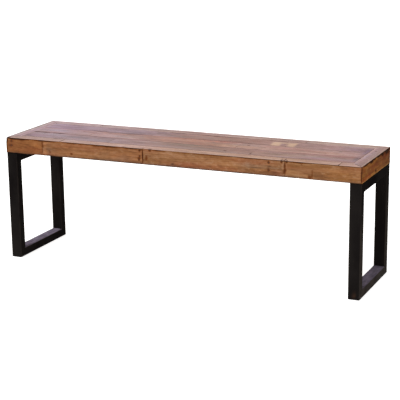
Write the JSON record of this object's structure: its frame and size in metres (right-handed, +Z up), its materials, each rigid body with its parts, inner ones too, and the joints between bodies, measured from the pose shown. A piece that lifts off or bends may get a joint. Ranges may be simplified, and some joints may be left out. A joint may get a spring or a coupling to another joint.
{
  "type": "bench",
  "caption": "Long low bench: a reclaimed wood seat with a mitred border and deep edge, on two closed loop legs of rectangular black steel tube.",
  "frame": {"origin": "on the floor under the middle of the bench", "axes": "+X along the bench to the right as seen from the front, +Y from front to back, +Z up"},
  "size_m": [1.4, 0.35, 0.475],
  "materials": {
    "seat_wood": "oiled reclaimed wood, worn and slightly greyed",
    "border_wood": "oiled reclaimed wood, paler and worn at the edge",
    "apron_wood": "warm brown oiled reclaimed wood with knots and nail marks",
    "end_wood": "darker brown oiled reclaimed wood",
    "plywood": "raw",
    "raw_timber": "sawn softwood",
    "black_steel": "satin black powder coat",
    "zinc": "zinc plated",
    "dark_iron": "rusted nail",
    "glide_plastic": "moulded nylon"
  },
  "bodies": {
    "root": {"apron_back_1": "apron_wood", "apron_back_2": "apron_wood", "apron_back_3": "apron_wood", "apron_end_left": "end_wood", "apron_end_right": "end_wood", "apron_front_1": "apron_wood", "apron_front_2": "apron_wood", "apron_front_3": "apron_wood", "apron_front_4": "apron_wood", "apron_nail_1": "dark_iron", "apron_nail_2": "dark_iron", "apron_nail_3": "dark_iron", "apron_nail_4": "dark_iron", "apron_nail_5": "dark_iron", "apron_nail_6": "dark_iron", "border_back_left": "border_wood", "border_back_middle": "border_wood", "border_back_right": "border_wood", "border_end_left": "border_wood", "border_end_right": "border_wood", "border_front_left": "border_wood", "border_front_middle": "border_wood", "border_front_right": "border_wood", "cleat_back": "raw_timber", "cleat_front": "raw_timber", "core_panel": "plywood", "frame_batten_left": "raw_timber", "frame_batten_right": "raw_timber", "left_back_glide": "glide_plastic", "left_back_post": "black_steel", "left_bottom_rail": "black_steel", "left_frame_screw_1": "zinc", "left_frame_screw_2": "zinc", "left_frame_screw_3": "zinc", "left_front_glide": "glide_plastic", "left_front_post": "black_steel", "left_mounting_plate": "black_steel", "left_top_rail": "black_steel", "middle_batten": "raw_timber", "plank_back_left": "seat_wood", "plank_back_middle": "seat_wood", "plank_back_right": "seat_wood", "plank_centre_left": "seat_wood", "plank_centre_middle": "seat_wood", "plank_centre_right": "seat_wood", "plank_front_left": "seat_wood", "plank_front_middle": "seat_wood", "plank_front_right": "seat_wood", "right_back_glide": "glide_plastic", "right_back_post": "black_steel", "right_bottom_rail": "black_steel", "right_frame_screw_1": "zinc", "right_frame_screw_2": "zinc", "right_frame_screw_3": "zinc", "right_front_glide": "glide_plastic", "right_front_post": "black_steel", "right_mounting_plate": "black_steel", "right_top_rail": "black_steel"}
  },
  "joints": []
}
